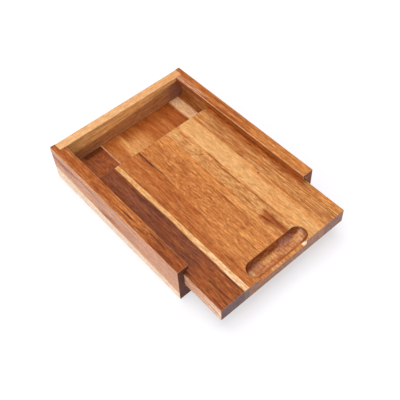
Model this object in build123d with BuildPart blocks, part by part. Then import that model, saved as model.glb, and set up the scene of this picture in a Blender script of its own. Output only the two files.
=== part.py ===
from build123d import *
import os

# A cutting board that slides like a drawer in an open-fronted frame of solid acacia.
# Sizes are in millimetres. The origin is the centre of the frame's footprint on the table:
# +X is to the right, +Y is towards the closed back and +Z is up.

# ---------------------------------------------------------------- driving dimensions

# The frame: two grooved side rails, a back rail and a floor of glued staves.
frame_width = 240.0
frame_length = 280.0
frame_height = 65.0
rail_thickness = 18.0
groove_depth = 9.0
lip_thickness = 8.5  # the part of a side rail that overhangs the board
back_thickness = 14.0
rabbet_depth = 10.0  # how far the back rail is let into each side rail
floor_thickness = 24.5
floor_step = 1.2  # how much lower the first floor stave lies
first_floor_stave = 52.8
second_floor_stave = 33.7
third_floor_stave = 72.5
rail_ease = 1.2  # radius along the edges that a hand meets
end_ease = 0.7  # radius round the sawn front ends
floor_ease = 0.4  # radius on the floor's step

# The sliding board: four staves, glued first and then machined as one slab.
board_thickness = 24.5
slide_gap = 0.4  # under the board
side_gap = 1.5  # beside the board, in each groove
closing_gap = 0.5  # behind the board when it is pushed home
pull_out = 67.5  # how far the board is drawn out
first_board_stave = 46.8
second_board_stave = 73.1
third_board_stave = 63.0
board_ease = 0.8

# The finger recess: a trough cut by a ball-nosed tool, behind a lowered stretch of front rim.
recess_length = 101.0
recess_width = 26.0
recess_depth = 12.5
recess_setback = 14.6  # from the board's front face to the trough's centre line
notch_left_margin = 5.9  # from the recess's left end to the lowered rim
notch_right_margin = 11.5  # from the lowered rim to the recess's right end
notch_depth = 8.0
recess_ease = 0.5

# Glued dowel pins between the back rail and what it closes off.
dowel_diameter = 6.0
dowel_length = 30.0
dowel_bite = 9.0  # how far a pin goes into the back rail
dowel_height = 12.0  # above the table
glue_room = 1.0  # left free at the front end of each hole
dowel_chamfer = 0.6

# ---------------------------------------------------------------- derived places

left_face = -frame_width / 2
front_face = -frame_length / 2
back_face = frame_length / 2
back_inner_face = back_face - back_thickness
floor_left = left_face + rail_thickness
lip_bottom = frame_height - lip_thickness

board_left = left_face + rail_thickness - groove_depth + side_gap
board_width = -2 * board_left
board_length = frame_length - back_thickness - closing_gap
board_front = front_face - pull_out
board_bottom = floor_thickness + slide_gap
board_top = board_bottom + board_thickness

# The ball-nosed tool is as wide at the board's surface as the recess, and as deep at its lowest.
tool_radius = (recess_width**2 / 4 + recess_depth**2) / (2 * recess_depth)
tool_travel = recess_length - recess_width
tool_height = board_top - recess_depth + tool_radius
recess_line = board_front + recess_setback
notch_left = -recess_length / 2 + notch_left_margin
notch_right = recess_length / 2 - notch_right_margin


def glue_lines(start, widths, end):
    """The left and right sides of staves laid edge to edge; the last one takes what is left."""
    places = [start]
    for width in widths:
        places.append(places[-1] + width)
    places.append(end)
    return list(zip(places[:-1], places[1:]))


floor_widths = (first_floor_stave, second_floor_stave, third_floor_stave)
board_widths = (first_board_stave, second_board_stave, third_board_stave)
floor_staves = glue_lines(floor_left, floor_widths, -floor_left)
board_staves = glue_lines(board_left, board_widths, -board_left)

# One pin in each side rail, behind the shoulder of its rabbet, and one in each floor stave.
rail_dowel = floor_left - rabbet_depth / 2
dowel_places = [rail_dowel, *((left + right) / 2 for left, right in floor_staves), -rail_dowel]
hole_depth = dowel_length - dowel_bite + glue_room

os.makedirs("parts", exist_ok=True)


def write(piece, label):
    """Names a finished piece and keeps it."""
    piece.part.label = label
    export_step(piece.part, f"parts/{label}.step")


# ---------------------------------------------------------------- side rails

with BuildPart() as left_rail:
    # The section across the rail: a C with its mouth to the board and three eased corners.
    with BuildSketch(Plane.XZ.offset(-front_face)) as rail_section:
        with Locations((left_face, 0)):
            Rectangle(rail_thickness, frame_height, align=(Align.MIN, Align.MIN))
        glued_corner = rail_section.vertices().group_by(Axis.X)[-1].sort_by(Axis.Y)[0]
        fillet(rail_section.vertices().filter_by(lambda corner: corner != glued_corner), rail_ease)
        with Locations((floor_left, floor_thickness)):
            groove_height = lip_bottom - floor_thickness
            Rectangle(groove_depth, groove_height, align=(Align.MAX, Align.MIN), mode=Mode.SUBTRACT)
    extrude(amount=-frame_length)
    # Ease the sawn end, but not the upright edge that is glued to the floor.
    end_edges = left_rail.faces().sort_by(Axis.Y)[0].edges()
    glued_edge = end_edges.filter_by(Axis.Z).group_by(Axis.X)[-1].sort_by(Axis.Z)[0]
    fillet(end_edges.filter_by(lambda edge: edge != glued_edge), end_ease)
    # The rabbet leaves a tongue that covers the back rail's end grain.
    with BuildSketch(Plane.XY):
        with Locations((floor_left, back_face)):
            Rectangle(rabbet_depth, back_thickness, align=(Align.MAX, Align.MAX))
    extrude(amount=frame_height, mode=Mode.SUBTRACT)
    # The blind hole for the dowel pin.
    with BuildSketch(Plane.XZ.offset(-back_inner_face)):
        with Locations((rail_dowel, dowel_height)):
            Circle(dowel_diameter / 2)
    extrude(amount=hole_depth, mode=Mode.SUBTRACT)
write(left_rail, "left_rail")

with BuildPart() as right_rail:
    mirror(left_rail.part, about=Plane.YZ)
write(right_rail, "right_rail")

# ---------------------------------------------------------------- back rail

with BuildPart() as back_rail:
    with BuildSketch(Plane.YZ):
        with Locations((back_inner_face, 0)):
            Rectangle(back_thickness, frame_height, align=(Align.MIN, Align.MIN))
    extrude(amount=-floor_left + rabbet_depth, both=True)
    long_edges = back_rail.edges().filter_by(Axis.X)
    fillet(long_edges.group_by(Axis.Z)[-1], rail_ease)
    with BuildSketch(Plane.XZ.offset(-back_inner_face)):
        with Locations(*((place, dowel_height) for place in dowel_places)):
            Circle(dowel_diameter / 2)
    extrude(amount=-dowel_bite, mode=Mode.SUBTRACT)
write(back_rail, "back_rail")

# ---------------------------------------------------------------- floor


def floor_stave(left, right, top, steps_up):
    """One stave of the floor, from the front ends of the rails to the back rail."""
    with BuildPart() as stave:
        with BuildSketch(Plane.XY):
            with Locations((left, front_face)):
                Rectangle(right - left, back_inner_face - front_face, align=(Align.MIN, Align.MIN))
        extrude(amount=top)
        if steps_up:
            fillet(stave.edges().group_by(Axis.Z)[-1].sort_by(Axis.X)[0], floor_ease)
        fillet(stave.faces().sort_by(Axis.Y)[0].edges().filter_by(Axis.X), end_ease)
        with BuildSketch(Plane.XZ.offset(-back_inner_face)):
            with Locations(((left + right) / 2, dowel_height)):
                Circle(dowel_diameter / 2)
        extrude(amount=hole_depth, mode=Mode.SUBTRACT)
    return stave


for number, (left, right) in enumerate(floor_staves, start=1):
    top = floor_thickness - floor_step if number == 1 else floor_thickness
    write(floor_stave(left, right, top, steps_up=number == 2), f"floor_stave_{number}")

# ---------------------------------------------------------------- dowel pins

with BuildPart() as back_dowels:
    with BuildSketch(Plane.XZ.offset(-back_inner_face - dowel_bite)):
        with Locations(*((place, dowel_height) for place in dowel_places)):
            Circle(dowel_diameter / 2)
    extrude(amount=dowel_length)
    chamfer(back_dowels.edges().filter_by(GeomType.CIRCLE), dowel_chamfer)
write(back_dowels, "back_dowels")

# ---------------------------------------------------------------- sliding board

# What the ball-nosed tool sweeps out: a stadium turned about the tool's line of travel.
with BuildPart() as recess_tool:
    with BuildSketch(Plane.XZ.offset(-recess_line)):
        with Locations((0, tool_height)):
            SlotCenterToCenter(tool_travel, 2 * tool_radius)
            above_centre = (Align.CENTER, Align.MIN)
            tool_length = tool_travel + 2 * tool_radius
            Rectangle(tool_length, tool_radius, align=above_centre, mode=Mode.SUBTRACT)
    revolve(axis=Axis((0, recess_line, tool_height), (1, 0, 0)))

with BuildPart() as slab:
    with BuildSketch(Plane.XY.offset(board_bottom)):
        with Locations((0, board_front)):
            Rectangle(board_width, board_length, align=(Align.CENTER, Align.MIN))
    extrude(amount=board_thickness)
    fillet(slab.edges(), board_ease)
    add(recess_tool.part, mode=Mode.SUBTRACT)
    # The lowered rim, cut flat from the front face back to the trough.
    with BuildSketch(Plane.XY.offset(board_top)):
        with Locations((notch_left, board_front)):
            Rectangle(notch_right - notch_left, recess_setback, align=(Align.MIN, Align.MIN))
    extrude(amount=-notch_depth, mode=Mode.SUBTRACT)
    # Soften what a finger meets: first the mouth of the recess, then the lowered rim.
    board_face = slab.faces().sort_by(Axis.Z)[-1]
    beside_recess = recess_length / 2 + recess_ease
    behind_recess = recess_line + recess_width
    mouth = board_face.edges().filter_by_position(Axis.Y, board_front, behind_recess)
    fillet(mouth.filter_by(lambda edge: abs(edge.center().X) < beside_recess), recess_ease)
    rim_face = slab.faces().filter_by(Plane.XY).sort_by(Axis.Z)[1]
    rim_edges = rim_face.edges().filter_by(Axis.Y, reverse=True)
    fillet(rim_edges.filter_by_position(Axis.X, notch_left, notch_right), recess_ease)

for number, (left, right) in enumerate(board_staves, start=1):
    with BuildPart() as board_stave:
        add(slab.part)
        split(bisect_by=Plane.YZ.offset(left), keep=Keep.TOP)
        split(bisect_by=Plane.YZ.offset(right), keep=Keep.BOTTOM)
    write(board_stave, f"board_stave_{number}")
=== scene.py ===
import math

import bmesh
import bpy
from bpy.props import FloatProperty, FloatVectorProperty, PointerProperty
from bpy.types import Operator, Panel, PropertyGroup
from mathutils import Matrix

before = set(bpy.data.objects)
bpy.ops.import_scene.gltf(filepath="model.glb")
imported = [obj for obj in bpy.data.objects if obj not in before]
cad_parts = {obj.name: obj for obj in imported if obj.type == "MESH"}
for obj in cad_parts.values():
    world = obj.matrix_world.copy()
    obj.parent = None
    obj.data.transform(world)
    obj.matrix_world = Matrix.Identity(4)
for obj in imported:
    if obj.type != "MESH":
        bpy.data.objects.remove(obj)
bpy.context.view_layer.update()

bl_info = {
    "name": "Sliding Cutting Board",
    "version": (1, 0, 0),
    "blender": (4, 5, 0),
    "location": "3D View > Sidebar > Board",
    "description": "Finishes a thick cutting board that slides in an open-fronted acacia frame",
    "category": "Object",
}

MILLIMETRES = 1000.0  # wood patterns are laid out in millimetres, on objects in metres
X, Y, Z = 0, 1, 2  # the axes, as a vector's parts are numbered

# How the strands between the fibres deepen a tone, and brighten it.
DEEPER = (0.77, 0.66, 0.50)
BRIGHTER = (1.21, 1.29, 1.44)

# The fine grain's sizes across, along and through the wood, in millimetres.
FIBRE = (0.35, 9.0, 0.5)
STRAND = (1.7, 15.0, 1.7)
VESSEL = (0.5, 6.0, 0.6)
LUMP = (2.4, 4.0, 2.4)
WORN_PATCH = (9.0, 14.0, 9.0)

# Pores and rings on a sawn end run on into the wood, so they are far longer than any piece.
END_PORE = (0.6, 400.0, 0.6)
END_RING = (2.4, 600.0, 7.0)

# The stretch of cloudy values over which an open vessel, a strand or an end's pore comes in.
OPEN_VESSEL = (0.58, 0.70)
SPREAD_STRAND = (0.34, 0.66)
OPEN_END_PORE = (0.42, 0.62)

# How far fibres and lumps brighten or darken the wood, and how strong an end's pores and rings are.
FIBRE_CONTRAST = 0.16
LUMP_CONTRAST = 0.07
END_PORE_STRENGTH = 0.3
END_RING_STRENGTH = 0.45

# How much duller vessels and fibres are than the oiled surface, and how strongly they stand out.
VESSEL_DULLNESS = 0.2
FIBRE_DULLNESS = 0.12
BUMP_STRENGTH = 0.5

# How sharply a growth line ends, and how far its drift carries it, in line spacings.
LINE_SHARPNESS = 1.6
LINE_DRIFT = 6.0

# Steps between the places where noises are read, so that no two look alike.
SEED_STEP = 17.3
SHIFT_STEP = 7.7
AXIS_STEPS = (0.0, 31.0, 57.0)
LINE_STEP = 13.0
LINE_SEED_STEP = 101.0

# The cosines at which a surface starts to face a direction, and fully faces it.
FACING = (0.6, 0.8)
# The largest part of the normal where an edge starts to round off, and where it is fully round.
ROUNDED = (0.97, 0.80)

# How strongly oiled wood mirrors what is round it.
OILED_SPECULAR = 0.12

# Tones of the sawn ends, which differ from piece to piece, in linear light.
LEFT_RAIL_END = (0.085, 0.03, 0.026)
FIRST_STAVE_END = (0.172, 0.114, 0.12)
SECOND_STAVE_END = (0.37, 0.185, 0.125)
THIRD_STAVE_END = (0.39, 0.205, 0.148)
FOURTH_STAVE_END = (0.315, 0.172, 0.137)

# Where the finger recess lies, in millimetres: its walls, and the board's top.
RECESS_FAR = -179.6
RECESS_NEAR = -202.9
RECESS_REACH = 51.0
RECESS_TOP = 49.4

# The stage: tones in linear light, lengths in metres.
FLOOR_TONE = (0.345, 0.342, 0.36, 1.0)
FLOOR_GLOW_TONE = (0.99, 0.99, 1.0, 1.0)
FLOOR_ROUGHNESS = 0.7
FLOOR_SPECULAR = 0.2
SKY_TONE = (1.0, 1.0, 1.0, 1.0)
KEY_SIZE = 1.5
KEY_PLACE = (-1.2, -0.35, 0.9)
CEILING_SIZE = 2.6
CEILING_PLACE = (0.0, 0.45, 2.6)
SENSOR_WIDTH = 36.0  # in millimetres
VIEW_DISTANCE = 50.0


# ---------------------------------------------------------------- settings


def shade(label, default, description):
    """A colour that a user can change, in linear light."""
    return FloatVectorProperty(
        name=label,
        description=description,
        subtype="COLOR",
        size=3,
        min=0.0,
        max=1.0,
        default=default,
    )


class WoodSettings(PropertyGroup):
    sapwood: shade("Sapwood", (0.53, 0.275, 0.10), "Cream outer wood, on staves and the back rail")
    pale_sapwood: shade("Pale sapwood", (0.84, 0.68, 0.50), "Palest outer wood, at the left rail's foot")
    pale_heartwood: shade("Pale heartwood", (0.40, 0.142, 0.034), "Light orange heartwood")
    bright_orange: shade("Bright orange", (0.49, 0.19, 0.046), "Brightest heartwood")
    heartwood: shade("Heartwood", (0.30, 0.076, 0.012), "Orange-brown heartwood of staves and rails")
    red_heartwood: shade("Red heartwood", (0.19, 0.038, 0.004), "Redder heartwood, on rails and staves")
    blush_wood: shade("Blush wood", (0.53, 0.27, 0.165), "Pinkish beige outer sides")
    walnut_brown: shade("Walnut brown", (0.19, 0.0505, 0.0193), "Dark purple-brown of the first staves")
    figured_tan: shade("Figured tan", (0.48, 0.235, 0.078), "Tan of the third and fourth staves")
    recess_brown: shade("Recess brown", (0.13, 0.026, 0.007), "Darker walls of the finger recess")
    recess_tan: shade("Recess tan", (0.42, 0.18, 0.080), "Lighter bottom of the finger recess")
    recess_mauve: shade("Recess mauve", (0.25, 0.105, 0.075), "Purplish wood in recess and back rail")
    grain_dark: shade("Dark grain", (0.078, 0.018, 0.004), "Dark grain lines, pores and knots")
    end_grain: shade("End grain", (0.20, 0.125, 0.105), "Sawn ends across the grain")
    # Painted shade and red bounce light on the board's edge under the rail's lip.
    lip_shade_russet: shade("Russet", (0.55, 0.14, 0.028), "Red-brown edge of the board, by the rail's lip")
    lit_sapwood: shade("Lit sapwood", (0.86, 0.43, 0.15), "Sapwood along the back rail's inner face")
    # Pale tone of worn edges, also used for painted highlights and painted light.
    worn_edge_and_highlight: shade("Worn edge", (0.60, 0.35, 0.19), "Edges that sanding and wear have brightened")
    fibre_depth: FloatProperty(
        name="Fibre depth",
        description="Height of the fibres and pores that can be felt",
        unit="LENGTH",
        default=0.00006,
        min=0.0,
    )
    roughness: FloatProperty(
        name="Roughness",
        description="How dull the oiled surface is",
        subtype="FACTOR",
        default=0.42,
        min=0.0,
        max=1.0,
    )


class StageSettings(PropertyGroup):
    camera_place: FloatVectorProperty(
        name="Camera place",
        description="Where the camera stands, from the centre of the frame's footprint",
        subtype="TRANSLATION",
        unit="LENGTH",
        default=(-0.3504, -0.4860, 0.7629),
    )
    camera_heading: FloatProperty(
        name="Heading",
        description="How far the camera looks to the right of the frame's own depth",
        subtype="ANGLE",
        default=math.radians(38.30),
    )
    camera_dip: FloatProperty(
        name="Dip",
        description="How far the camera looks down",
        subtype="ANGLE",
        default=math.radians(53.11),
    )
    camera_roll: FloatProperty(
        name="Roll",
        description="How far the camera leans",
        subtype="ANGLE",
        default=math.radians(-3.743),
    )
    lens: FloatProperty(
        name="Lens",
        description="Focal length on a sensor 36 mm wide",
        subtype="DISTANCE_CAMERA",
        default=59.74,
    )
    floor_size: FloatProperty(
        name="Floor",
        description="Side of the white floor",
        unit="LENGTH",
        default=8.0,
    )
    glow: FloatProperty(
        name="Glow",
        description="How brightly the white floor is lit from below",
        default=0.54,
    )
    sky: FloatProperty(
        name="Sky",
        description="Strength of the even white surroundings",
        default=0.62,
    )
    key: FloatProperty(
        name="Key",
        description="Power of the soft lamp on the left",
        subtype="POWER",
        default=12.5,
    )
    ceiling: FloatProperty(
        name="Ceiling",
        description="Power of the wide lamp overhead",
        subtype="POWER",
        default=64.0,
    )


# ---------------------------------------------------------------- shader building


class Wood:
    """One wood material. Each method adds nodes and hands back the socket that they end in.

    Places are in millimetres: X across the grain, Y along it, Z through the thickness.
    """

    def __init__(self, name, seed, grain_along="Y"):
        self.material = bpy.data.materials.new(name)
        self.material.use_nodes = True
        self.tree = self.material.node_tree
        self.tree.nodes.clear()
        self.seed = seed
        self.steps = 0.0  # counts the patterns, each of which reads its noise at a place of its own
        where = self.add("TexCoord").outputs["Object"]
        turn = self.add("Mapping", where)
        turn.inputs["Scale"].default_value = (MILLIMETRES,) * 3
        if grain_along == "X":
            turn.inputs["Rotation"].default_value = (0.0, 0.0, math.pi / 2)
        self.grain_along = grain_along
        self.still = turn.outputs[0]
        self.place = self.still

    def add(self, kind, *values, **settings):
        """A new node with its settings, and its inputs in order."""
        node = self.tree.nodes.new("ShaderNode" + kind)
        for key, value in settings.items():
            setattr(node, key, value)
        for socket, value in zip(node.inputs, values):
            if value is not None:
                self.put(socket, value)
        return node

    def put(self, socket, value):
        """Links a socket to another one, or sets it to a constant."""
        if isinstance(value, bpy.types.NodeSocket):
            self.tree.links.new(value, socket)
        else:
            socket.default_value = value

    def math(self, operation, first, second=None, third=None):
        """The result of one Math node."""
        return self.add("Math", first, second, third, operation=operation).outputs[0]

    def vector(self, operation, first, second=None, third=None):
        """The vector that one Vector Math node gives."""
        return self.add("VectorMath", first, second, third, operation=operation).outputs[0]

    def part(self, axis, of=None):
        """One part of a vector, or of the place that the pattern has here."""
        return self.add("SeparateXYZ", of or self.place).outputs[axis]

    def smooth(self, value, low, high, start=0.0, end=1.0):
        """Runs softly from the start to the end while the value goes from low to high."""
        node = self.add("MapRange", value, low, high, start, end, interpolation_type="SMOOTHSTEP")
        return node.outputs[0]

    def noise(self, across, along, through, detail=2.0, roughness=0.5, shift=0.0):
        """Cloudy values from 0 to 1 whose lumps have about the given size in millimetres."""
        size = (1.0 / across, 1.0 / along, 1.0 / through)
        offset = tuple(self.seed * SEED_STEP + shift * SHIFT_STEP + step for step in AXIS_STEPS)
        place = self.vector("MULTIPLY_ADD", self.place, size, offset)
        node = self.add("TexNoise", normalize=True)
        self.put(node.inputs["Vector"], place)
        self.put(node.inputs["Scale"], 1.0)
        self.put(node.inputs["Detail"], detail)
        self.put(node.inputs["Roughness"], roughness)
        return node.outputs["Fac"]

    def wander(self, reach, across=18.0, along=90.0):
        """Bends everything laid down after this sideways, by about the reach, as grain bends."""
        sideways = self.noise(across, along, across, detail=1.0)
        push = self.math("MULTIPLY", self.math("SUBTRACT", sideways, 0.5), 4.0 * reach)
        bend = self.add("CombineXYZ", push, 0.0, push).outputs[0]
        self.place = self.vector("ADD", self.place, bend)

    def mix(self, factor, below, above, blend_type="MIX"):
        """One colour over another, by a factor from 0 to 1."""
        node = self.add("Mix", data_type="RGBA", blend_type=blend_type)
        self.put(node.inputs[0], factor)
        for socket, colour in ((node.inputs[6], below), (node.inputs[7], above)):
            self.put(socket, (*colour, 1.0) if isinstance(colour, tuple) else colour)
        return node.outputs[2]

    def lay(self, below, above, *factors):
        """Lays one tone over another, by the product of the factors."""
        factor = factors[0]
        for more in factors[1:]:
            factor = self.math("MULTIPLY", factor, more)
        return self.mix(factor, below, above)

    def mark(self, centre, reach, softness=0.65, amount=1.0, lean=0.0, axis=X):
        """Up to the amount inside an ellipse across and along the grain, fading to 0 at its edge.

        It leans over by so many millimetres across for each one along. Across may be X or Z.
        """
        along = self.math("SUBTRACT", self.part(Y), centre[1])
        across = self.math("SUBTRACT", self.part(axis), centre[0])
        across = self.math("MULTIPLY_ADD", along, -lean, across)
        across = self.math("DIVIDE", across, reach[0])
        along = self.math("DIVIDE", along, reach[1])
        place = self.add("CombineXYZ", across, along, 0.0).outputs[0]
        away = self.add("VectorMath", place, operation="LENGTH").outputs["Value"]
        return self.smooth(away, 1.0 - softness, 1.0, amount, 0.0)

    def marks(self, colour, tone, *places):
        """Lays several marks of one tone, each given as centre, reach and amount."""
        for centre, reach, amount in places:
            colour = self.mix(self.mark(centre, reach, amount=amount), colour, tone)
        return colour

    def patch(self, *places):
        """The strongest of several marks, each given as centre, reach and lean."""
        strongest = 0.0
        for centre, reach, lean in places:
            strongest = self.math("MAXIMUM", strongest, self.mark(centre, reach, lean=lean))
        return strongest

    def rings(self, centre, stretch, spacing):
        """Curved lines round a place, drawn out along the grain."""
        across = self.math("SUBTRACT", self.part(X), centre[0])
        along = self.math("DIVIDE", self.math("SUBTRACT", self.part(Y), centre[1]), stretch)
        place = self.add("CombineXYZ", across, along, 0.0).outputs[0]
        away = self.add("VectorMath", place, operation="LENGTH").outputs["Value"]
        return self.math("POWER", self.math("FRACT", self.math("DIVIDE", away, spacing)), 2.0)

    def beyond(self, axis, start, softness):
        """0 before a place on one axis, 1 after it."""
        return self.smooth(self.part(axis), start - softness, start + softness)

    def window(self, axis, start, end, softness):
        """1 between two places on one axis."""
        opens = self.beyond(axis, start, softness)
        closes = self.beyond(axis, end, softness)
        return self.math("SUBTRACT", opens, closes)

    def facing(self, axis, direction):
        """1 where the surface faces that way along an axis."""
        normal = self.add("TexCoord").outputs["Normal"]
        towards = self.math("MULTIPLY", self.part(axis, normal), direction)
        return self.smooth(towards, *FACING)

    def bands(self, first, second, width, length, share=0.5):
        """Growth bands along the grain, in two tones of which the second has about that share."""
        self.steps += 1.0
        cloud = self.noise(width, length * 1.3, width * 1.6, 3.0, 0.6, self.steps)
        middle = 0.5 + (0.5 - share) * 0.3
        softness = 0.16
        return self.mix(self.smooth(cloud, middle - softness, middle + softness), first, second)

    def lines(self, spacing, amount):
        """Growth lines along the grain: each darkens slowly and ends sharply, and no two are alike."""
        self.steps += 1.0
        drift = self.noise(spacing * 5, spacing * 60, spacing * 5, 1.0, 0.5, self.steps)
        phase = self.math("DIVIDE", self.part(X), spacing)
        phase = self.math("MULTIPLY_ADD", drift, LINE_DRIFT, phase)
        number = self.math("FLOOR", phase)
        rise = self.math("POWER", self.math("FRACT", phase), LINE_SHARPNESS)
        chance = self.add("TexWhiteNoise", noise_dimensions="1D")
        apart = self.steps * LINE_STEP + self.seed * LINE_SEED_STEP
        self.put(chance.inputs["W"], self.math("ADD", number, apart))
        strength = self.smooth(chance.outputs["Value"], 0.15, 1.0, 0.0, amount)
        gaps = self.noise(spacing * 3, spacing * 14, spacing * 3, 2.0, 0.5, self.steps + 0.5)
        broken = self.smooth(gaps, 0.35, 0.6)
        return self.math("MULTIPLY", self.math("MULTIPLY", rise, strength), broken)

    def dashes(self, width, length, amount, crowd=0.5):
        """Short dark dashes along the grain, where vessels are cut open; a larger crowd means more."""
        self.steps += 1.0
        cloud = self.noise(width * 1.5, length * 1.5, width * 1.5, 1.0, 0.5, self.steps)
        start = 0.68 - crowd * 0.2
        return self.smooth(cloud, start, start + 0.08, 0.0, amount)

    def contours(self, width, length, count, thin=0.3):
        """Curly dark lines, as figured wood has where its layers are cut at a slant."""
        self.steps += 1.0
        hills = self.noise(width, length, width, 2.0, 0.5, self.steps)
        wave = self.math("PINGPONG", self.math("MULTIPLY", hills, count * 2.0), 1.0)
        return self.smooth(wave, thin, 0.0)

    def hold(self, axis, start, end):
        """1 between two places on one axis, with sharp ends that don't bend with the grain."""
        place = self.part(axis, self.still)
        after = self.math("GREATER_THAN", place, start)
        return self.math("MULTIPLY", after, self.math("LESS_THAN", place, end))

    def cut_in(self):
        """1 below the board's top, where the recess and the lowered rim are cut into it."""
        return self.smooth(self.part(Z, self.still), RECESS_TOP - 0.4, RECESS_TOP - 1.6)

    def in_recess(self):
        """1 on the walls of the finger recess, below the board's top."""
        across = self.hold(X, -RECESS_REACH, RECESS_REACH)
        inside = self.math("MULTIPLY", self.hold(Y, RECESS_NEAR, RECESS_FAR), across)
        return self.math("MULTIPLY", inside, self.cut_in())

    def recess(self, colour, settings):
        """Tones the recess: dark along its walls and its ends, partly cut fibres that drink more oil and
        partly painted shade, with painted highlights.
        """
        bent, self.place = self.place, self.still
        brown, tan, mauve, heart, pale, cream = tones(
            settings,
            "recess_brown",
            "recess_tan",
            "recess_mauve",
            "heartwood",
            "figured_tan",
            "worn_edge_and_highlight",
        )
        tone = self.bands(tan, heart, 13.0, 3.0, 0.35)
        # Painted highlights on the bottom and at the right end.
        tone = self.marks(
            tone,
            pale,
            ((-10.0, -188.0), (20.0, 7.0), 0.8),
            ((38.0, -190.0), (10.0, 5.0), 0.6),
        )
        # Darker along the far wall and the near lip, partly cut fibres that drink more oil and partly
        # painted shade.
        far = self.smooth(self.part(Y), RECESS_FAR - 9.0, RECESS_FAR - 3.5)
        near = self.smooth(self.part(Y), RECESS_NEAR + 7.0, RECESS_NEAR + 2.0, 0.0, 0.6)
        tone = self.lay(tone, self.bands(heart, brown, 14.0, 2.0, 0.4), near)
        tone = self.lay(tone, self.bands(brown, heart, 14.0, 2.0, 0.35), far)
        tone = self.marks(
            tone,
            mauve,
            ((24.0, -185.0), (22.0, 5.0), 0.8),
            ((-30.0, -186.0), (12.0, 4.0), 0.5),
        )
        # Darker at both ends and in their corners, partly cut fibres and partly painted shade.
        from_middle = self.math("ABSOLUTE", self.part(X))
        ends = self.smooth(from_middle, RECESS_REACH - 7.0, RECESS_REACH - 1.5, 0.0, 0.8)
        tone = self.lay(tone, brown, ends)
        tone = self.marks(
            tone,
            brown,
            ((41.0, -183.5), (8.0, 4.0), 0.9),
            ((44.0, -200.5), (7.0, 3.0), 0.8),
            ((-46.5, -185.0), (6.0, 5.0), 0.8),
        )
        # Painted highlights where the rounded ends catch the light.
        tone = self.marks(
            tone,
            cream,
            ((-42.5, -191.0), (4.5, 6.0), 0.7),
            ((40.0, -195.0), (4.0, 5.0), 0.6),
            ((47.0, -190.0), (3.0, 5.0), 0.5),
        )
        self.place = bent
        return self.mix(self.math("MULTIPLY", self.in_recess(), 0.92), colour, tone)

    def on_rim(self):
        """1 on the lowered rim in front of the recess, on its bed and its right end wall."""
        front = self.math("LESS_THAN", self.part(Y, self.still), RECESS_NEAR)
        walls = self.math("MAXIMUM", self.facing(Z, 1.0), self.facing(X, -1.0))
        return self.math("MULTIPLY", self.math("MULTIPLY", self.cut_in(), front), walls)

    def finish(self, colour, settings, pores=0.5, end_grain=None, wear_and_highlight=0.55, carved=False, depth=0.95):
        """Adds pores and fibres, the sawn ends, pale rounded edges that are partly wear and partly
        painted highlight, and the oiled surface.

        The depth is how far the strands deepen and brighten the colour, from 0 to 1.
        """
        dark = tuple(settings.grain_dark)
        fibre = self.noise(*FIBRE, detail=2.0, roughness=0.6, shift=3.0)
        strands = self.noise(*STRAND, detail=2.0, roughness=0.6, shift=4.0)
        vessels = self.smooth(self.noise(*VESSEL, detail=1.0, shift=5.0), *OPEN_VESSEL)
        colour = self.mix(self.math("MULTIPLY", vessels, pores), colour, dark)
        deeper = self.mix(1.0, colour, DEEPER, "MULTIPLY")
        brighter = self.mix(1.0, colour, BRIGHTER, "MULTIPLY")
        spread = self.smooth(strands, *SPREAD_STRAND, -0.5, 0.5)
        colour = self.mix(self.math("MULTIPLY_ADD", spread, depth, 0.5), deeper, brighter)
        lumps = self.noise(*LUMP, detail=1.0, shift=23.0)
        lumps = self.smooth(lumps, 0.35, 0.65, 1.0 - LUMP_CONTRAST, 1.0 + LUMP_CONTRAST)
        light = self.smooth(fibre, 0.3, 0.7, 1.0 - FIBRE_CONTRAST, 1.0 + FIBRE_CONTRAST)
        light = self.math("MULTIPLY", light, lumps)
        grey = self.add("CombineColor", light, light, light).outputs[0]
        colour = self.mix(1.0, colour, grey, "MULTIPLY")

        normal = self.add("TexCoord").outputs["Normal"]
        along_grain = self.part("XYZ".index(self.grain_along), normal)
        sawn = self.smooth(self.math("ABSOLUTE", along_grain), *FACING)
        dots = self.noise(*END_PORE, detail=2.0, roughness=0.6, shift=9.0)
        dots = self.smooth(dots, *OPEN_END_PORE)
        rings = self.noise(*END_RING, detail=2.0, shift=11.0)
        rings = self.smooth(rings, 0.3, 0.7, 0.0, END_RING_STRENGTH)
        end = self.mix(rings, end_grain or tuple(settings.end_grain), dark)
        end = self.mix(self.math("MULTIPLY", dots, END_PORE_STRENGTH), end, colour)

        sizes = self.vector("ABSOLUTE", normal)
        largest = self.math("MAXIMUM", self.part(Y, sizes), self.part(Z, sizes))
        largest = self.math("MAXIMUM", self.part(X, sizes), largest)
        edge = self.smooth(largest, *ROUNDED, 0.0, wear_and_highlight)
        if carved:
            outside = self.math("SUBTRACT", 1.0, self.in_recess())
            sawn = self.math("MULTIPLY", sawn, outside)
            edge = self.math("MULTIPLY", edge, outside)
        colour = self.mix(sawn, colour, end)
        # Rounded edges turn paler in patches: partly wear, partly a painted highlight.
        patchy = self.noise(*WORN_PATCH, detail=2.0, shift=21.0)
        patchy = self.smooth(patchy, 0.3, 0.6, 0.4, 1.0)
        colour = self.mix(self.math("MULTIPLY", edge, patchy), colour, tuple(settings.worn_edge_and_highlight))

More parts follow.
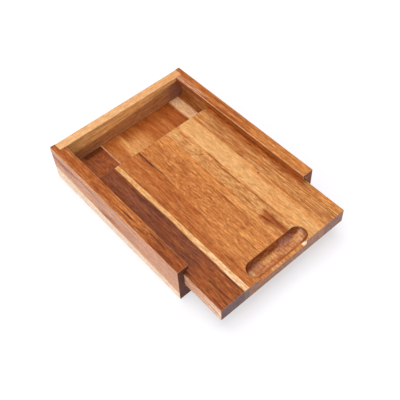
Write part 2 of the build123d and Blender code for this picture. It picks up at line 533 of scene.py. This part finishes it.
        height = self.math("SUBTRACT", self.math("MULTIPLY", fibre, 0.6), vessels)
        bump = self.add("Bump")
        self.put(bump.inputs["Strength"], BUMP_STRENGTH)
        self.put(bump.inputs["Distance"], settings.fibre_depth)
        self.put(bump.inputs["Height"], height)
        dull = self.math("MULTIPLY_ADD", vessels, VESSEL_DULLNESS, settings.roughness)
        dull = self.math("MULTIPLY_ADD", fibre, FIBRE_DULLNESS, dull)
        surface = self.add("BsdfPrincipled")
        self.put(surface.inputs["Base Color"], colour)
        self.put(surface.inputs["Roughness"], dull)
        self.put(surface.inputs["Normal"], bump.outputs[0])
        surface.inputs["Specular IOR Level"].default_value = OILED_SPECULAR
        output = self.add("OutputMaterial")
        self.put(output.inputs["Surface"], surface.outputs[0])
        return self.material


def dress(node, material):
    """Gives a CAD node its finished material."""
    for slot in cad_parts[node].material_slots:
        slot.material = material


def tones(settings, *names):
    """The chosen colours of the settings, as plain tuples."""
    return [tuple(getattr(settings, name)) for name in names]


# ---------------------------------------------------------------- operators


class BOARD_OT_left_rail(Operator):
    """Finishes the left rail: orange-brown heartwood above, sapwood along its outer foot."""

    bl_idname = "board.left_rail"
    bl_label = "Finish left rail"

    def execute(self, context):
        look = context.scene.board_wood
        heart, red, dark, sap, blush, orange, walnut = tones(
            look,
            "heartwood",
            "red_heartwood",
            "grain_dark",
            "pale_sapwood",
            "blush_wood",
            "bright_orange",
            "walnut_brown",
        )
        wood = Wood("left_rail_wood", 1.0)
        wood.wander(1.4, 12.0, 55.0)
        colour = wood.bands(heart, wood.bands(red, orange, 5.0, 30.0, 0.3), 3.0, 60.0, 0.35)
        middle = wood.window(Y, -75.0, 15.0, 25.0)
        colour = wood.lay(colour, wood.bands(heart, orange, 3.0, 40.0, 0.35), middle)
        front = wood.smooth(wood.part(Y), -60.0, -100.0)
        colour = wood.lay(colour, wood.bands(red, heart, 2.4, 50.0, 0.28), front)
        colour = wood.lay(colour, red, wood.lines(2.2, 0.9))
        curly = wood.window(Y, -130.0, -5.0, 14.0)
        colour = wood.lay(colour, dark, wood.contours(7.0, 70.0, 4.0, 0.22), curly, 0.55)
        colour = wood.lay(colour, dark, wood.dashes(0.9, 7.0, 0.35, 0.5))
        # Long dark streaks along the top.
        colour = wood.marks(
            colour,
            dark,
            ((-111.0, -30.0), (1.9, 22.0), 0.85),
            ((-107.5, -88.0), (2.0, 20.0), 0.85),
            ((-114.0, -60.0), (1.7, 16.0), 0.7),
            ((-116.0, -112.0), (2.4, 20.0), 0.6),
            ((-105.5, -118.0), (1.4, 18.0), 0.6),
        )
        # The outer side is paler, partly paler wood and partly painted reflection of the white floor,
        # with sapwood along its foot.
        side = wood.facing(X, -1.0)
        pale = wood.bands(blush, wood.bands(heart, walnut, 6.0, 90.0, 0.5), 7.0, 120.0, 0.2)
        streak = wood.mark((46.0, 108.0), (8.0, 46.0), 0.9, 0.6, lean=-0.16, axis=Z)
        pale = wood.lay(pale, walnut, streak)
        pale = wood.lay(pale, blush, wood.smooth(wood.part(Y), 0.0, -90.0), 0.7)
        foot_slope = 0.038
        foot_height = 19.8
        foot = wood.math("MULTIPLY_ADD", wood.part(Y), foot_slope, foot_height)
        below = wood.smooth(wood.math("SUBTRACT", wood.part(Z), foot), 3.0, -2.5)
        pale = wood.lay(pale, wood.lay(sap, blush, 0.3), below)
        colour = wood.lay(colour, pale, side)
        calm = wood.smooth(side, 0.0, 1.0, 0.9, 0.4)
        finished = wood.finish(colour, look, pores=0.35, end_grain=LEFT_RAIL_END, wear_and_highlight=0.7, depth=calm)
        dress("left_rail", finished)
        return {"FINISHED"}


class BOARD_OT_right_rail(Operator):
    """Finishes the right rail: red-brown stripes at the rear, turning orange to the front."""

    bl_idname = "board.right_rail"
    bl_label = "Finish right rail"

    def execute(self, context):
        look = context.scene.board_wood
        heart, red, dark, orange, pale, blush, wear_and_highlight = tones(
            look,
            "heartwood",
            "red_heartwood",
            "grain_dark",
            "bright_orange",
            "pale_heartwood",
            "blush_wood",
            "worn_edge_and_highlight",
        )
        wood = Wood("right_rail_wood", 2.0)
        wood.wander(1.0, 14.0, 90.0)
        colour = wood.bands(heart, pale, 4.0, 90.0, 0.45)
        rear = wood.smooth(wood.part(Y), 45.0, 80.0)
        inner = wood.smooth(wood.part(X), 111.0, 107.0)
        stripes = wood.bands(red, blush, 1.6, 120.0, 0.6)
        colour = wood.lay(colour, stripes, rear, inner, wood.beyond(Z, 57.0, 0.5), 0.85)
        front = wood.smooth(wood.part(Y), -5.0, -60.0)
        colour = wood.lay(colour, wood.bands(orange, pale, 4.0, 60.0, 0.5), front, 0.85)
        colour = wood.lay(colour, red, wood.lines(2.4, 0.75))
        colour = wood.lay(colour, dark, wood.dashes(0.9, 7.0, 0.3, 0.45))
        colour = wood.marks(
            colour,
            red,
            ((106.0, 10.0), (3.5, 26.0), 0.7),
            ((105.0, -58.0), (1.0, 26.0), 0.8),
            ((104.5, 60.0), (2.0, 40.0), 0.7),
        )
        # Painted shade makes the lip's inner face redder and darker than the top. The groove's web gets
        # painted light, and painted shade, redder, at the rear by the corner.
        inner_side = wood.facing(X, -1.0)
        colour = wood.lay(colour, heart, inner_side, 0.6)
        colour = wood.lay(colour, red, inner_side, 0.3)
        in_groove = wood.smooth(wood.part(Z), 56.4, 55.8)
        lit_web = wood.bands(orange, wear_and_highlight, 6.0, 60.0, 0.15)
        colour = wood.lay(colour, lit_web, in_groove, inner_side, 0.85)
        web_corner_shade = wood.smooth(wood.part(Y), 70.0, 120.0)
        colour = wood.lay(colour, red, web_corner_shade, in_groove, inner_side, 0.6)
        sawn_end = tuple(look.walnut_brown)
        dress("right_rail", wood.finish(colour, look, pores=0.35, end_grain=sawn_end, wear_and_highlight=0.85))
        return {"FINISHED"}


class BOARD_OT_back_rail(Operator):
    """Finishes the back rail, cream above and brown below, and the dowel pins that hold it."""

    bl_idname = "board.back_rail"
    bl_label = "Finish back rail"

    def execute(self, context):
        look = context.scene.board_wood
        lit, red, sap, pale, orange, blush, wear_and_highlight, mauve = tones(
            look,
            "lit_sapwood",
            "red_heartwood",
            "sapwood",
            "pale_heartwood",
            "bright_orange",
            "blush_wood",
            "worn_edge_and_highlight",
            "recess_mauve",
        )
        wood = Wood("back_rail_wood", 3.0, grain_along="X")
        wood.wander(0.8, 14.0, 90.0)
        # The heartwood climbs from left to right across the inner face, along a slight curve.
        curve = 0.00025
        slope = 0.09
        height = 46.5
        rise = wood.math("MULTIPLY_ADD", wood.part(Y), curve, slope)
        rise = wood.math("MULTIPLY_ADD", wood.part(Y), rise, height)
        above = wood.smooth(wood.math("SUBTRACT", wood.part(Z), rise), -1.2, 1.2)
        colour = wood.lay(wood.bands(orange, pale, 5.0, 90.0, 0.2), blush, 0.25)
        colour = wood.lay(colour, red, wood.dashes(1.2, 16.0, 0.5, 0.5))
        colour = wood.lay(colour, mauve, wood.beyond(Y, 84.0, 10.0), 0.8)
        # A pale strip low on the inner face is painted light, where the floor's bounce lights it.
        painted_bounce_strip = wood.window(Z, 25.5, 28.0, 0.7)
        colour = wood.lay(colour, blush, painted_bounce_strip, wood.window(Y, -98.0, 62.0, 12.0), 0.6)
        colour = wood.lay(colour, wood.bands(lit, sap, 5.0, 90.0, 0.35), above)
        top = wood.facing(Z, 1.0)
        cream = wood.bands(sap, orange, 4.0, 90.0, 0.25)
        cream = wood.lay(cream, wear_and_highlight, 0.4)
        cream = wood.lay(cream, orange, wood.beyond(Y, 60.0, 50.0), 0.3)
        colour = wood.lay(colour, cream, top)
        dress("back_rail", wood.finish(colour, look, pores=0.15, wear_and_highlight=0.6, depth=0.45))
        pin = Wood("back_dowels_wood", 4.0)
        dress("back_dowels", pin.finish(pin.bands(sap, pale, 2.0, 60.0), look))
        return {"FINISHED"}


class BOARD_OT_floor(Operator):
    """Finishes the floor's four staves."""

    bl_idname = "board.floor"
    bl_label = "Finish floor staves"

    def execute(self, context):
        look = context.scene.board_wood
        heart, red, dark, sap, walnut, orange, pale, wear_and_highlight, blush = tones(
            look,
            "heartwood",
            "red_heartwood",
            "grain_dark",
            "sapwood",
            "walnut_brown",
            "bright_orange",
            "pale_heartwood",
            "worn_edge_and_highlight",
            "blush_wood",
        )
        wood = Wood("floor_stave_1_wood", 5.0)
        wood.wander(3.0, 24.0, 40.0)
        colour = wood.bands(heart, walnut, 9.0, 30.0, 0.4)
        colour = wood.lay(colour, walnut, wood.rings((-62.0, 118.0), 1.5, 7.5), 0.65)
        colour = wood.lay(colour, red, wood.lines(2.4, 0.5))
        # A sharp-edged darker block at the rear, by the back rail's foot.
        colour = wood.lay(colour, dark, wood.hold(Y, 117.5, 130.0), wood.hold(X, -81.0, -49.0), 0.7)
        dress("floor_stave_1", wood.finish(colour, look, pores=0.3))

        wood = Wood("floor_stave_2_wood", 6.0)
        wood.wander(2.0)
        colour = wood.bands(heart, pale, 5.0, 60.0, 0.5)
        right = wood.smooth(wood.part(X), -29.0, -24.0, 0.0, 0.95)
        colour = wood.lay(colour, wood.bands(orange, sap, 6.0, 60.0, 0.2), right)
        colour = wood.lay(colour, sap, wood.mark((-14.0, 84.0), (18.0, 26.0)), 0.5)
        # Painted shade: darker towards the back rail.
        colour = wood.lay(colour, heart, wood.smooth(wood.part(Y), 104.0, 122.0), 0.75)
        colour = wood.lay(colour, red, wood.lines(2.6, 0.3))
        # Its raised left edge is painted pale, a painted highlight where the step catches the light.
        colour = wood.lay(colour, blush, wood.hold(X, -49.4, -47.6), 0.9)
        dress("floor_stave_2", wood.finish(colour, look, pores=0.2, wear_and_highlight=0.9, depth=0.6))

        wood = Wood("floor_stave_3_wood", 7.0)
        wood.wander(3.0)
        colour = wood.bands(orange, pale, 9.0, 60.0, 0.5)
        right = wood.smooth(wood.part(X), 2.0, 30.0)
        colour = wood.lay(colour, wood.bands(pale, heart, 8.0, 60.0, 0.6), right)
        colour = wood.lay(colour, sap, wood.mark((-9.0, 84.0), (28.0, 30.0)), 0.4)
        # Painted shade: darker and redder towards the back rail.
        rear = wood.smooth(wood.part(Y), 92.0, 122.0)
        colour = wood.lay(colour, wood.bands(heart, red, 8.0, 30.0, 0.5), rear, 0.85)
        colour = wood.lay(colour, red, wood.lines(3.4, 0.25))
        dress("floor_stave_3", wood.finish(colour, look, pores=0.2, depth=0.5))

        wood = Wood("floor_stave_4_wood", 8.0)
        wood.wander(1.6)
        colour = wood.bands(red, heart, 6.0, 60.0, 0.6)
        strip = wood.bands(wear_and_highlight, sap, 9.0, 90.0, 0.35)
        colour = wood.lay(colour, strip, wood.window(X, 85.0, 103.0, 2.6))
        dress("floor_stave_4", wood.finish(colour, look, pores=0.3, depth=0.5))
        return {"FINISHED"}


class BOARD_OT_board_stave_1(Operator):
    """Finishes the walnut-brown first stave and its strip of sapwood."""

    bl_idname = "board.board_stave_1"
    bl_label = "Finish board stave 1"

    def execute(self, context):
        look = context.scene.board_wood
        walnut, red, dark, sap, heart, orange, cream, blush = tones(
            look,
            "walnut_brown",
            "red_heartwood",
            "grain_dark",
            "sapwood",
            "heartwood",
            "bright_orange",
            "pale_sapwood",
            "blush_wood",
        )
        wood = Wood("board_stave_1_wood", 11.0)
        wood.wander(1.1, 14.0, 70.0)
        colour = wood.bands(walnut, red, 6.0, 50.0, 0.4)
        clear = (0.0, 0.0, 0.0)
        faint = (0.35, 0.35, 0.35)
        colour = wood.lay(colour, dark, wood.bands(clear, faint, 5.0, 70.0, 0.35))
        front = wood.smooth(wood.part(Y), -125.0, -170.0)
        lively = wood.bands(red, heart, 1.8, 40.0, 0.4)
        lively = wood.lay(lively, heart, wood.mark((-102.0, -170.0), (12.0, 40.0)), 0.45)
        colour = wood.lay(colour, lively, front, 0.85)
        colour = wood.lay(colour, heart, wood.mark((-86.0, -100.0), (3.5, 34.0)), 0.6)
        # Dark streaks, most of them beside the strip of sapwood.
        colour = wood.marks(
            colour,
            dark,
            ((-74.0, -30.0), (4.0, 55.0), 0.75),
            ((-74.0, 10.0), (2.0, 40.0), 0.5),
            ((-72.0, -110.0), (2.4, 60.0), 0.6),
            ((-72.0, -175.0), (2.0, 34.0), 0.8),
            ((-79.0, -110.0), (1.0, 40.0), 0.7),
            ((-93.5, -163.0), (1.2, 14.0), 0.6),
        )
        colour = wood.lay(colour, dark, wood.lines(2.0, 0.9))
        colour = wood.lay(colour, orange, wood.dashes(1.3, 18.0, 0.33, 0.5), front)
        colour = wood.lay(colour, dark, wood.dashes(1.1, 9.0, 0.5, 0.55))
        strip = wood.lay(sap, cream, wood.smooth(wood.part(Y), -80.0, -190.0), 0.25)
        colour = wood.lay(colour, strip, wood.beyond(X, -69.6, 0.8))
        # The left side is paler, partly paler wood and partly painted reflection of the white floor.
        side = wood.facing(X, -1.0)
        colour = wood.lay(colour, wood.bands(blush, cream, 6.0, 60.0, 0.04), side)
        finished = wood.finish(colour, look, pores=0.25, wear_and_highlight=0.45, end_grain=FIRST_STAVE_END)
        dress("board_stave_1", finished)
        return {"FINISHED"}


class BOARD_OT_board_stave_2(Operator):
    """Finishes the wide second stave, with its dark wavy line and the left half of the recess."""

    bl_idname = "board.board_stave_2"
    bl_label = "Finish board stave 2"

    def execute(self, context):
        look = context.scene.board_wood
        heart, red, dark, pale, orange, sap = tones(
            look,
            "heartwood",
            "red_heartwood",
            "grain_dark",
            "pale_heartwood",
            "bright_orange",
            "sapwood",
        )
        wood = Wood("board_stave_2_wood", 12.0)
        wood.wander(1.2, 16.0, 55.0)
        plain = wood.bands(heart, pale, 7.0, 70.0, 0.35)
        plain = wood.lay(plain, red, wood.dashes(0.9, 12.0, 0.22, 0.6))
        lively = wood.bands(pale, heart, 5.0, 34.0, 0.3)
        lively = wood.lay(lively, orange, wood.dashes(1.6, 6.0, 0.8, 0.7))
        # The livelier right side starts at a line that leans with the dark wavy one.
        lean = 0.045
        start = -28.5
        edge = wood.math("MULTIPLY_ADD", wood.part(Y), lean, start)
        right = wood.smooth(wood.math("SUBTRACT", wood.part(X), edge), -1.0, 2.0)
        colour = wood.lay(plain, lively, right)
        front = wood.smooth(wood.part(Y), -70.0, -130.0)
        near = wood.bands(pale, orange, 7.0, 50.0, 0.15)
        near = wood.lay(near, heart, wood.smooth(wood.part(X), -40.0, -58.0), 0.7)
        colour = wood.lay(colour, near, front, 0.9)
        curly = wood.window(X, -24.0, 4.0, 4.0)
        colour = wood.lay(colour, heart, wood.contours(9.0, 22.0, 3.0, 0.35), curly, 0.5)
        # Redder streaks, and a broad blot on the left.
        colour = wood.marks(
            colour,
            red,
            ((-55.0, -37.0), (7.0, 10.0), 0.35),
            ((-54.5, -100.0), (1.8, 45.0), 0.5),
            ((-52.0, -170.0), (2.5, 40.0), 0.6),
            ((-29.5, -18.0), (2.0, 24.0), 0.7),
            ((-11.0, 8.0), (0.9, 18.0), 0.8),
            ((-16.5, 30.0), (0.9, 12.0), 0.6),
            ((8.5, -95.0), (1.3, 45.0), 0.75),
            ((7.5, -124.0), (2.2, 14.0), 0.5),
            ((-61.0, 10.0), (1.2, 60.0), 0.6),
        )
        # The dark wavy line behind, and a shorter one in front.
        colour = wood.marks(
            colour,
            dark,
            ((-26.0, 50.0), (2.2, 22.0), 0.95),
            ((-27.2, 30.0), (2.5, 18.0), 1.0),
            ((-27.0, 8.0), (1.5, 22.0), 0.75),
            ((-18.0, -162.0), (1.6, 22.0), 0.6),
        )
        colour = wood.lay(colour, red, wood.lines(2.6, 0.4))
        flecks = wood.dashes(0.9, 4.5, 0.65, 0.35)
        colour = wood.lay(colour, red, flecks, wood.smooth(wood.part(X), -40.0, -15.0, 0.4, 1.0))
        rim = wood.bands(sap, heart, 15.0, 12.0, 0.35)
        colour = wood.lay(colour, rim, wood.on_rim(), wood.window(X, -31.0, 3.0, 3.0), 0.85)
        colour = wood.recess(colour, look)
        finished = wood.finish(colour, look, pores=0.3, carved=True, end_grain=SECOND_STAVE_END)
        dress("board_stave_2", finished)
        return {"FINISHED"}


class BOARD_OT_board_stave_3(Operator):
    """Finishes the figured third stave: a brown flame, a band of sapwood and the rest of the recess."""

    bl_idname = "board.board_stave_3"
    bl_label = "Finish board stave 3"

    def execute(self, context):
        look = context.scene.board_wood
        heart, red, dark, sap, pale, orange, tan, cream = tones(
            look,
            "heartwood",
            "red_heartwood",
            "grain_dark",
            "sapwood",
            "pale_heartwood",
            "bright_orange",
            "figured_tan",
            "pale_sapwood",
        )
        wood = Wood("board_stave_3_wood", 13.0)
        wood.wander(1.1, 14.0, 60.0)
        colour = wood.bands(orange, pale, 4.0, 70.0, 0.45)
        # Left of the sapwood it is mottled, with curly lines.
        middle = wood.window(X, 23.0, 43.0, 2.5)
        mottled = wood.bands(tan, pale, 6.0, 18.0, 0.12)
        curls = wood.contours(10.0, 26.0, 4.0, 0.35)
        mottled = wood.lay(mottled, heart, curls, wood.window(Y, -138.0, 10.0, 20.0), 0.68)
        colour = wood.lay(colour, mottled, middle)
        colour = wood.lay(colour, heart, wood.lines(2.6, 0.6), wood.window(X, 10.0, 46.0, 2.0))
        colour = wood.lay(colour, sap, wood.mark((16.5, -140.0), (7.0, 90.0)), 0.3)
        light = wood.bands(sap, orange, 7.0, 120.0, 0.15)
        colour = wood.lay(colour, light, wood.beyond(X, 45.0, 1.6))
        front = wood.smooth(wood.part(Y), -40.0, -70.0)
        colour = wood.lay(colour, orange, wood.smooth(wood.part(X), 62.0, 71.0), front, 0.8)
        # Brown and redder lines beside and within the mottled wood.
        colour = wood.marks(
            colour,
            heart,
            ((21.5, -60.0), (1.4, 70.0), 0.7),
            ((70.0, -95.0), (3.0, 30.0), 0.5),
            ((41.5, 35.0), (1.2, 20.0), 0.9),
            ((37.0, 25.0), (1.2, 16.0), 0.6),
            ((60.5, -135.0), (0.8, 13.0), 0.9),
        )
        colour = wood.marks(
            colour,
            red,
            ((44.8, -25.0), (1.8, 26.0), 0.85),
            ((41.5, -62.0), (1.6, 26.0), 0.8),
            ((42.5, -120.0), (1.6, 50.0), 0.7),
            ((28.0, -110.0), (1.6, 26.0), 0.6),
            ((33.0, -90.0), (1.4, 16.0), 0.5),
        )
        # The brown flame behind the recess, then two small knots and the flame's dark core.
        flame = wood.patch(
            ((27.0, -151.0), (13.5, 19.0), 0.0),
            ((29.0, -168.0), (8.0, 36.0), 0.0),
            ((22.0, -144.0), (6.0, 11.0), -0.2),
            ((32.0, -142.0), (5.0, 12.0), 0.2),
        )
        colour = wood.lay(colour, wood.bands(heart, red, 2.2, 22.0, 0.58), flame)
        colour = wood.marks(
            colour,
            dark,
            ((37.0, -7.5), (1.8, 2.0), 0.9),
            ((71.5, -85.0), (1.9, 2.2), 0.95),
            ((23.5, -146.0), (1.6, 12.0), 0.6),
            ((31.0, -166.0), (1.5, 20.0), 0.6),
        )
        flecks = wood.dashes(0.9, 5.0, 0.5, 0.4)
        colour = wood.lay(colour, heart, flecks, wood.smooth(wood.part(X), 44.0, 50.0, 1.0, 0.25))
        rim = wood.bands(heart, orange, 14.0, 12.0, 0.5)
        # Cream at the rim's right end and on its end wall is a painted highlight.
        rim = wood.lay(rim, cream, wood.smooth(wood.part(X), 33.0, 36.5))
        colour = wood.lay(colour, rim, wood.on_rim(), 0.9)
        calm = wood.smooth(wood.part(X), 43.0, 50.0, 1.0, 0.6)
        colour = wood.recess(colour, look)
        finished = wood.finish(
            colour,
            look,
            pores=0.16,
            carved=True,
            depth=calm,
            end_grain=THIRD_STAVE_END,
        )
        dress("board_stave_3", finished)
        return {"FINISHED"}


class BOARD_OT_board_stave_4(Operator):
    """Finishes the mid-brown right stave with its fine dark lines."""

    bl_idname = "board.board_stave_4"
    bl_label = "Finish board stave 4"

    def execute(self, context):
        look = context.scene.board_wood
        heart, red, tan, orange, lip_shade_russet = tones(
            look, "heartwood", "red_heartwood", "figured_tan", "bright_orange", "lip_shade_russet"
        )
        wood = Wood("board_stave_4_wood", 14.0)
        wood.wander(1.0, 14.0, 70.0)
        colour = wood.bands(tan, heart, 4.0, 60.0, 0.42)
        clear = (0.0, 0.0, 0.0)
        strong = (0.8, 0.8, 0.8)
        colour = wood.lay(colour, orange, wood.bands(clear, strong, 3.0, 50.0, 0.25))
        colour = wood.lay(colour, tan, wood.smooth(wood.part(Y), -30.0, 20.0), 0.25)
        # Its right edge is painted redder along the rail, as shade and red bounce light under the rail's
        # lip; ahead of the rail it is orange.
        rear = wood.smooth(wood.part(Y), -60.0, 10.0)
        colour = wood.lay(colour, red, wood.beyond(X, 97.0, 5.0), rear, 0.6)
        under_lip_shade = wood.smooth(wood.part(Y), -142.0, -132.0)
        colour = wood.lay(colour, lip_shade_russet, wood.beyond(X, 100.0, 2.0), under_lip_shade, 0.9)
        ahead = wood.smooth(wood.part(Y), -145.0, -160.0)
        colour = wood.lay(colour, orange, wood.beyond(X, 98.0, 3.0), ahead, 0.8)
        # Redder streaks, and a blot beside the sapwood.
        colour = wood.marks(
            colour,
            red,
            ((78.0, -43.0), (5.0, 10.0), 0.4),
            ((76.5, 0.0), (1.4, 26.0), 0.6),
            ((90.5, 20.0), (0.9, 34.0), 0.85),
            ((96.5, -100.0), (0.9, 34.0), 0.85),
            ((82.0, 28.0), (1.2, 9.0), 0.6),
        )
        colour = wood.lay(colour, red, wood.lines(2.1, 0.95))
        colour = wood.lay(colour, red, wood.dashes(0.9, 6.0, 0.5, 0.45))
        dress("board_stave_4", wood.finish(colour, look, pores=0.3, end_grain=FOURTH_STAVE_END))
        return {"FINISHED"}


class BOARD_OT_stage(Operator):
    """Lays the white floor, hangs the soft lights and sets up the camera."""

    bl_idname = "board.stage"
    bl_label = "Set the stage"

    def execute(self, context):
        stage = context.scene.board_stage
        scene = context.scene
        scene.view_settings.view_transform = "Standard"
        self.lay_floor(scene, stage)
        self.light(scene, stage)
        self.place_camera(scene, stage)
        return {"FINISHED"}

    def lay_floor(self, scene, stage):
        """Lays the pale floor, which glows a little so that it stays white."""
        mesh = bpy.data.meshes.new("floor")
        shape = bmesh.new()
        bmesh.ops.create_grid(shape, x_segments=1, y_segments=1, size=stage.floor_size / 2)
        shape.to_mesh(mesh)
        shape.free()
        floor = bpy.data.objects.new("floor", mesh)
        scene.collection.objects.link(floor)
        paint = bpy.data.materials.new("white_floor")
        paint.use_nodes = True
        surface = paint.node_tree.nodes["Principled BSDF"]
        surface.inputs["Base Color"].default_value = FLOOR_TONE
        surface.inputs["Emission Color"].default_value = FLOOR_GLOW_TONE
        surface.inputs["Emission Strength"].default_value = stage.glow
        surface.inputs["Roughness"].default_value = FLOOR_ROUGHNESS
        surface.inputs["Specular IOR Level"].default_value = FLOOR_SPECULAR
        mesh.materials.append(paint)

    def light(self, scene, stage):
        """Sets the white surroundings and hangs the two lamps."""
        world = bpy.data.worlds.new("surroundings")
        world.use_nodes = True
        background = world.node_tree.nodes["Background"]
        background.inputs["Color"].default_value = SKY_TONE
        background.inputs["Strength"].default_value = stage.sky
        scene.world = world
        self.hang(scene, "key", stage.key, KEY_SIZE, KEY_PLACE)
        self.hang(scene, "ceiling", stage.ceiling, CEILING_SIZE, CEILING_PLACE)

    def hang(self, scene, name, power, size, place):
        """Hangs a round soft lamp that looks at the board."""
        lamp = bpy.data.lights.new(name, "AREA")
        lamp.shape = "DISK"
        lamp.size = size
        lamp.energy = power
        hung = bpy.data.objects.new(name, lamp)
        hung.location = place
        hung.rotation_euler = (-hung.location).to_track_quat("-Z", "Y").to_euler()
        scene.collection.objects.link(hung)

    def place_camera(self, scene, stage):
        """Sets up the camera at the photograph's viewing angle."""
        lens = bpy.data.cameras.new("camera")
        lens.lens = stage.lens
        lens.sensor_width = SENSOR_WIDTH
        lens.clip_end = VIEW_DISTANCE
        camera = bpy.data.objects.new("camera", lens)
        heading = Matrix.Rotation(-stage.camera_heading, 4, "Z")
        dip = Matrix.Rotation(math.pi / 2 - stage.camera_dip, 4, "X")
        roll = Matrix.Rotation(stage.camera_roll, 4, "Z")
        camera.matrix_world = Matrix.Translation(stage.camera_place) @ heading @ dip @ roll
        scene.collection.objects.link(camera)
        scene.camera = camera


class BOARD_PT_panel(Panel):
    """Lists the steps that finish the cutting board."""

    bl_idname = "BOARD_PT_panel"
    bl_label = "Sliding Cutting Board"
    bl_space_type = "VIEW_3D"
    bl_region_type = "UI"
    bl_category = "Board"

    def draw(self, context):
        for step in STEPS:
            self.layout.operator(step.bl_idname)


SETTINGS = (WoodSettings, StageSettings)
STEPS = (
    BOARD_OT_left_rail,
    BOARD_OT_right_rail,
    BOARD_OT_back_rail,
    BOARD_OT_floor,
    BOARD_OT_board_stave_1,
    BOARD_OT_board_stave_2,
    BOARD_OT_board_stave_3,
    BOARD_OT_board_stave_4,
    BOARD_OT_stage,
)


def register():
    for made in (*SETTINGS, *STEPS, BOARD_PT_panel):
        bpy.utils.register_class(made)
    bpy.types.Scene.board_wood = PointerProperty(type=WoodSettings)
    bpy.types.Scene.board_stage = PointerProperty(type=StageSettings)


def unregister():
    del bpy.types.Scene.board_stage
    del bpy.types.Scene.board_wood
    for made in reversed((*SETTINGS, *STEPS, BOARD_PT_panel)):
        bpy.utils.unregister_class(made)


def main():
    register()
    bpy.ops.board.left_rail()
    bpy.ops.board.right_rail()
    bpy.ops.board.back_rail()
    bpy.ops.board.floor()
    bpy.ops.board.board_stave_1()
    bpy.ops.board.board_stave_2()
    bpy.ops.board.board_stave_3()
    bpy.ops.board.board_stave_4()
    bpy.ops.board.stage()


if __name__ == "__main__":
    main()
